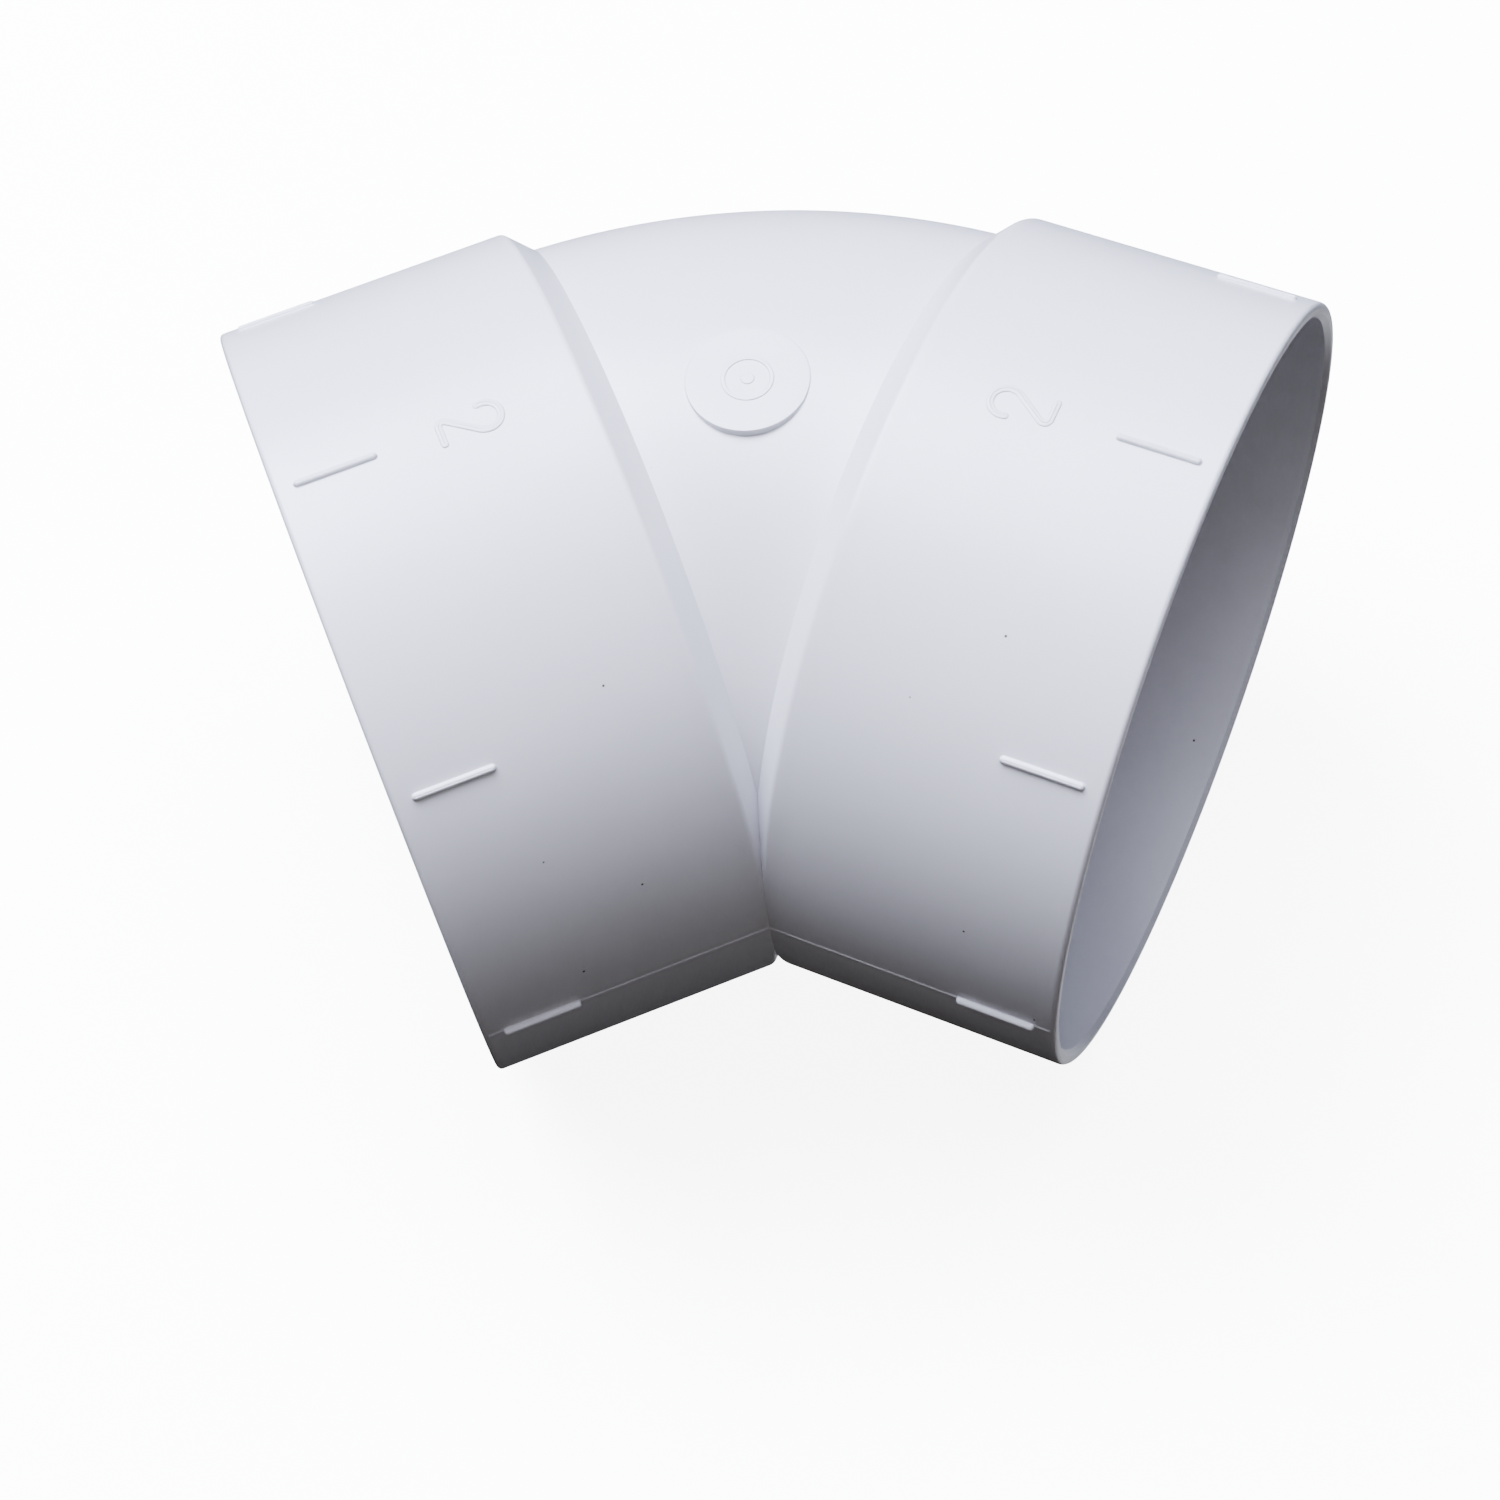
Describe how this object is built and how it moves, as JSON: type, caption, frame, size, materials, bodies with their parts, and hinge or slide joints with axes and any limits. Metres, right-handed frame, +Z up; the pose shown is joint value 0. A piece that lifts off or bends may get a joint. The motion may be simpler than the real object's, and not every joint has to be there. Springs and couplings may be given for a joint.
{
  "type": "pvc conduit elbow",
  "caption": "White thin-wall PVC elbow turning 45 degrees, with a pipe socket at each end, stepped shoulders, raised index bars round the rims and a plain raised disc.",
  "frame": {"origin": "under the middle of the elbow's box, on the surface that its lowest index bars stand on", "axes": "+Z up, square to the plane of the two socket axes; +X along the width, from the left mouth to the right mouth; +Y towards the outer side of the bend"},
  "size_m": [0.136, 0.1043, 0.0949],
  "materials": {
    "white_pvc": "smooth glossy injection-moulded white PVC"
  },
  "bodies": {
    "root": {"bend_body": "white_pvc", "roundel_disc": "white_pvc", "roundel_ring": "white_pvc", "roundel_dot": "white_pvc", "parting_line_crown": "white_pvc", "socket_left": "white_pvc", "shoulder_left": "white_pvc", "size_numeral_left": "white_pvc", "parting_line_left": "white_pvc", "index_bar_left_000": "white_pvc", "index_bar_left_045": "white_pvc", "index_bar_left_090": "white_pvc", "index_bar_left_135": "white_pvc", "index_bar_left_180": "white_pvc", "index_bar_left_225": "white_pvc", "index_bar_left_270": "white_pvc", "index_bar_left_315": "white_pvc", "socket_right": "white_pvc", "shoulder_right": "white_pvc", "size_numeral_right": "white_pvc", "parting_line_right": "white_pvc", "index_bar_right_000": "white_pvc", "index_bar_right_045": "white_pvc", "index_bar_right_090": "white_pvc", "index_bar_right_135": "white_pvc", "index_bar_right_180": "white_pvc", "index_bar_right_225": "white_pvc", "index_bar_right_270": "white_pvc", "index_bar_right_315": "white_pvc"}
  },
  "joints": []
}
